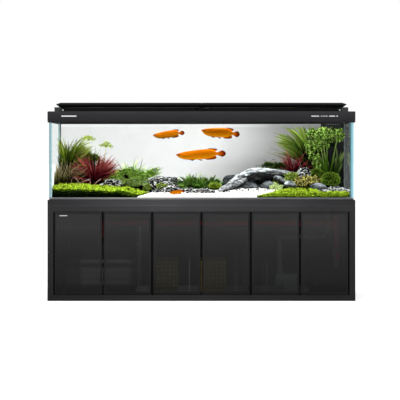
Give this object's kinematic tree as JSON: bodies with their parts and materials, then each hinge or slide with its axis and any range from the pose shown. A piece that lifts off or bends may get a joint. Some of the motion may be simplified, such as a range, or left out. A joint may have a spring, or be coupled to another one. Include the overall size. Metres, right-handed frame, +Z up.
{
  "type": "aquarium on stand",
  "caption": "Planted aquarium with a hood, hinged lamp lids, an overflow and a sump filter, on a black stand with smoked-glass pivot doors.",
  "frame": {"origin": "on the floor, under the middle of the stand", "axes": "+X along the stand to the viewer's right, +Y from the doors to the back panel, +Z up"},
  "size_m": [2, 0.6, 1.29],
  "materials": {
    "frame_black": "satin black powder coat",
    "panel_black": "black laminated board",
    "deck_black": "matt dark grey laminated board",
    "mat_black": "black foam",
    "door_black": "satin black profile",
    "smoked_glass": "smoked, clear gloss",
    "tank_glass": "clear float glass with a blue-green edge",
    "hood_black": "satin dark grey moulding",
    "control_black": "gloss black touch strip",
    "pin_steel": "stainless",
    "lamp_aluminium": "anodised",
    "lamp_white": "opal diffuser",
    "overflow_black": "dark grey acrylic",
    "sump_clear": "clear sheet",
    "tray_grey": "grey moulding",
    "pad_white": "filter wool",
    "media_yellow": "porous yellow ceramic",
    "pump_grey": "moulded",
    "impeller_red": "moulded",
    "pipe_red": "red pipe",
    "pipe_grey": "grey pipe",
    "valve_grey": "grey moulding",
    "lever_red": "red moulding",
    "sand_white": "fine white sand",
    "soil_dark": "dark plant soil",
    "carpet_green": "short bright carpet plant",
    "stone_grey": "speckled stone",
    "wood_grey": "weathered driftwood",
    "leaf_green": "waxy leaf",
    "leaf_red": "waxy red leaf",
    "bush_green": "small leaves",
    "magnet_black": "moulded catch"
  },
  "bodies": {
    "stand": {"back_panel": "panel_black", "base_panel": "panel_black", "bushes": "bush_green", "carpets": "carpet_green", "control_panel": "control_black", "corner_posts": "frame_black", "deck": "deck_black", "door_catches": "magnet_black", "door_pivots": "pin_steel", "drain_pipe": "pipe_red", "driftwood": "wood_grey", "filter_pads": "pad_white", "filter_trays": "tray_grey", "front_rails": "frame_black", "hood_frame": "hood_black", "hood_rim": "hood_black", "levelling_mat": "mat_black", "lid_hinge_pins": "pin_steel", "media_blocks": "media_yellow", "mid_posts": "frame_black", "overflow_box": "overflow_black", "pump_body": "pump_grey", "pump_cover": "pump_grey", "rear_rails": "frame_black", "red_plants": "leaf_red", "return_pipe": "pipe_grey", "sand_bed": "sand_white", "side_panels": "panel_black", "side_rails": "frame_black", "soil_banks": "soil_dark", "stones": "stone_grey", "sump_baffles": "sump_clear", "sump_tank": "sump_clear", "tall_plants": "leaf_green", "tank_back": "tank_glass", "tank_braces": "tank_glass", "tank_ends": "tank_glass", "tank_floor": "tank_glass", "tank_front": "tank_glass", "valve_body": "valve_grey"},
    "door_1": {"door_1_frame": "door_black", "door_1_glass": "smoked_glass"},
    "door_2": {"door_2_frame": "door_black", "door_2_glass": "smoked_glass"},
    "door_3": {"door_3_frame": "door_black", "door_3_glass": "smoked_glass"},
    "door_4": {"door_4_frame": "door_black", "door_4_glass": "smoked_glass"},
    "door_5": {"door_5_frame": "door_black", "door_5_glass": "smoked_glass"},
    "door_6": {"door_6_frame": "door_black", "door_6_glass": "smoked_glass"},
    "lid_left": {"lid_left": "hood_black", "lamp_housing_left": "lamp_aluminium", "lamp_diffuser_left": "lamp_white"},
    "lid_right": {"lid_right": "hood_black", "lamp_housing_right": "lamp_aluminium", "lamp_diffuser_right": "lamp_white"},
    "valve_lever": {"valve_handle": "lever_red"},
    "impeller": {"pump_impeller": "impeller_red"}
  },
  "joints": [
    {"name": "door_1_hinge", "type": "hinge", "parent": "stand", "child": "door_1", "pos_m": [-0.949, -0.287, 0.309], "axis": [0, 0, -1], "range_deg": [0, 90]},
    {"name": "door_2_hinge", "type": "hinge", "parent": "stand", "child": "door_2", "pos_m": [-0.33367, -0.287, 0.309], "axis": [0, 0, 1], "range_deg": [0, 90]},
    {"name": "door_3_hinge", "type": "hinge", "parent": "stand", "child": "door_3", "pos_m": [-0.30767, -0.287, 0.309], "axis": [0, 0, -1], "range_deg": [0, 90]},
    {"name": "door_4_hinge", "type": "hinge", "parent": "stand", "child": "door_4", "pos_m": [0.30767, -0.287, 0.309], "axis": [0, 0, 1], "range_deg": [0, 90]},
    {"name": "door_5_hinge", "type": "hinge", "parent": "stand", "child": "door_5", "pos_m": [0.33367, -0.287, 0.309], "axis": [0, 0, -1], "range_deg": [0, 90]},
    {"name": "door_6_hinge", "type": "hinge", "parent": "stand", "child": "door_6", "pos_m": [0.949, -0.287, 0.309], "axis": [0, 0, 1], "range_deg": [0, 90]},
    {"name": "lid_left_hinge", "type": "hinge", "parent": "stand", "child": "lid_left", "pos_m": [0, 0.237, 1.266], "axis": [-1, 0, 0], "range_deg": [0, 95]},
    {"name": "lid_right_hinge", "type": "hinge", "parent": "stand", "child": "lid_right", "pos_m": [0, 0.237, 1.266], "axis": [-1, 0, 0], "range_deg": [0, 95]},
    {"name": "valve_lever_turn", "type": "hinge", "parent": "stand", "child": "valve_lever", "pos_m": [0.932, 0.129, 0.257], "axis": [0, -1, 0], "range_deg": [0, 90]},
    {"name": "impeller_spin", "type": "hinge", "parent": "stand", "child": "impeller", "pos_m": [0.53, 0, 0.106], "axis": [1, 0, 0], "continuous": true}
  ]
}
